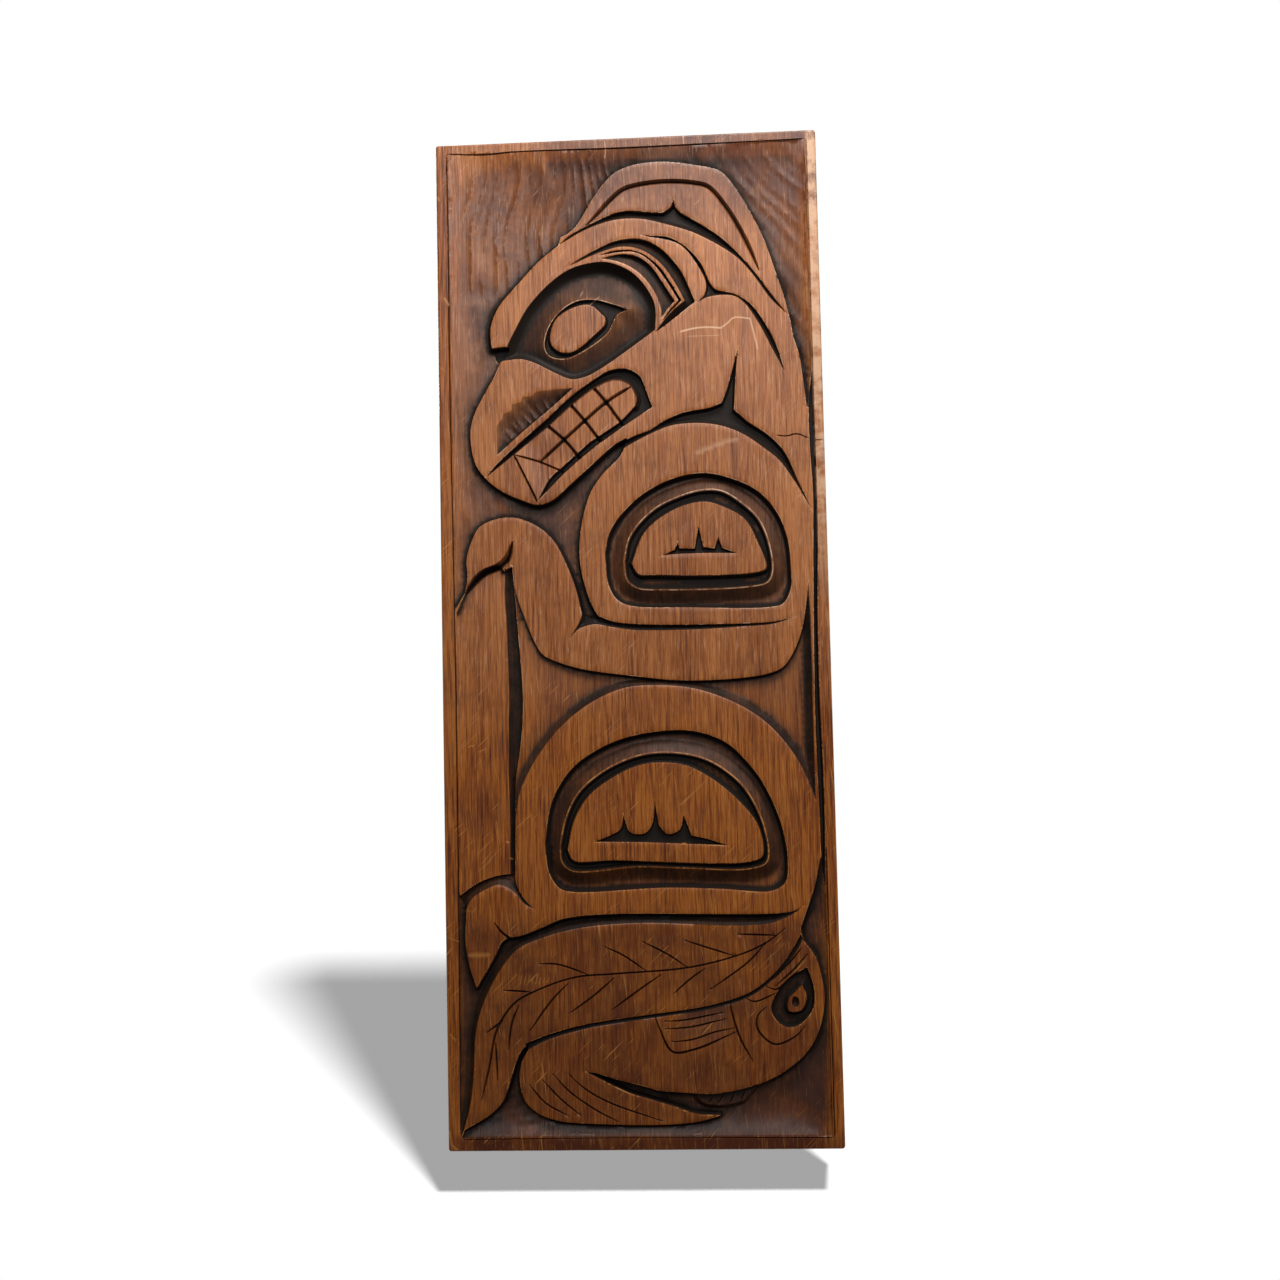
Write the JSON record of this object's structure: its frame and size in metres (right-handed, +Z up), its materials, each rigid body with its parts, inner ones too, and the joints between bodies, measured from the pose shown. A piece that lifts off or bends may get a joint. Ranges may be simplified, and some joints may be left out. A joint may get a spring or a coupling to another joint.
{
  "type": "carved wooden wall panel",
  "caption": "Upright wooden plank carved in low relief with a stylised bear and salmon inside a plain border, stained and varnished, hung on a wall by its flat back",
  "frame": {"origin": "centre of the flat back", "axes": "+Z up the panel, +Y out of its back towards the wall, so the carved front faces -Y, +X to the right seen from the front"},
  "size_m": [0.29, 0.038, 0.757],
  "materials": {
    "stained_wood": "reddish brown stained wood with a worn satin varnish, darker in the cuts"
  },
  "bodies": {
    "root": {"carved_panel": "stained_wood"}
  },
  "joints": []
}
